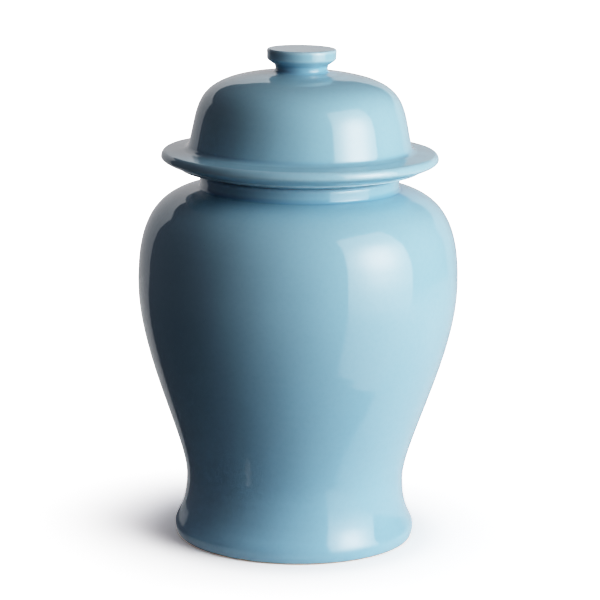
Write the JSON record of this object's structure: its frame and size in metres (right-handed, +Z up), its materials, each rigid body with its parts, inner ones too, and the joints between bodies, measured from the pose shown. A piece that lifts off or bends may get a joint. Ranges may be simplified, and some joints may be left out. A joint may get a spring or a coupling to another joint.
{
  "type": "ginger jar",
  "caption": "Lidded baluster jar in glossy pale blue glaze, with a flared foot, wide-brimmed domed lid and flat-topped knob; the lid lifts off.",
  "frame": {"origin": "centre of the foot, on the ground", "axes": "+Z up, along the jar's axis of revolution; X and Y are interchangeable"},
  "size_m": [0.26, 0.26, 0.4],
  "materials": {
    "glaze": "glossy",
    "inside_glaze": "glossy",
    "bare_clay": "matte, unglazed"
  },
  "bodies": {
    "jar": {"foot_ring": "glaze", "base_disc": "inside_glaze", "foot_flare": "glaze", "lower_wall": "glaze", "upper_wall": "glaze", "neck": "glaze"},
    "lid": {"lid_brim": "glaze", "lid_dome": "glaze", "lid_collar": "bare_clay", "knob_stem": "glaze", "knob_cap": "glaze"}
  },
  "joints": [
    {"name": "lid_lift", "type": "slide", "parent": "jar", "child": "lid", "axis": [0, 0, 1], "range_m": [0, 0.18]}
  ]
}
